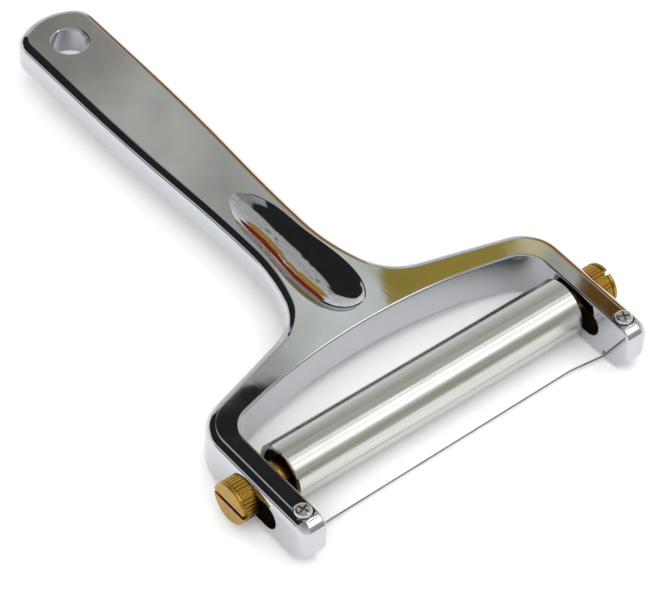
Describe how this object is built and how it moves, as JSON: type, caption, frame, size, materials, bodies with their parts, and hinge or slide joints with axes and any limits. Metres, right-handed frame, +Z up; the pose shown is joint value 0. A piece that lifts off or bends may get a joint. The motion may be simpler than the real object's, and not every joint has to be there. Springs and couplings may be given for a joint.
{
  "type": "cheese wire cutter",
  "caption": "Hand-held cheese slicer: flat dished handle and forked yoke, a free-turning roller on a sliding axle, and a taut cutting wire between the arm tips.",
  "frame": {"origin": "bottom centre of the bounding box: middle of the width and of the length, on the plane the roller rests on", "axes": "+X across the tool to its right side, +Y from the wire towards the end of the handle, +Z up through the dished face"},
  "size_m": [0.1308, 0.1968, 0.0173],
  "materials": {
    "casting": "polished plate",
    "roller": "satin, drawn lengthwise",
    "bush": "matte black",
    "axle": "turned",
    "thumb_screw": "turned, straight knurl",
    "clamp_screw": "bright zinc plate",
    "wire_nut": "turned",
    "wire": "drawn stainless"
  },
  "bodies": {
    "casting": {"frame_casting": "casting", "left_clamp_screw": "clamp_screw", "right_clamp_screw": "clamp_screw", "left_wire_nut": "wire_nut", "right_wire_nut": "wire_nut", "cutting_wire": "wire"},
    "carriage": {"roller_axle": "axle"},
    "roller": {"roller_tube": "roller", "left_roller_bush": "bush", "right_roller_bush": "bush"},
    "left_thumb": {"left_thumb_screw": "thumb_screw"},
    "right_thumb": {"right_thumb_screw": "thumb_screw"}
  },
  "joints": [
    {"name": "thickness_slide", "type": "slide", "parent": "casting", "child": "carriage", "axis": [0, -1, 0], "range_m": [0, 0.0087]},
    {"name": "roller_spin", "type": "hinge", "parent": "carriage", "child": "roller", "pos_m": [0, -0.074, 0.0085], "axis": [1, 0, 0], "continuous": true},
    {"name": "left_thumb_turn", "type": "hinge", "parent": "carriage", "child": "left_thumb", "pos_m": [-0.0601, -0.074, 0.0085], "axis": [-1, 0, 0], "range_deg": [0, 360]},
    {"name": "right_thumb_turn", "type": "hinge", "parent": "carriage", "child": "right_thumb", "pos_m": [0.0601, -0.074, 0.0085], "axis": [1, 0, 0], "range_deg": [0, 360]}
  ]
}
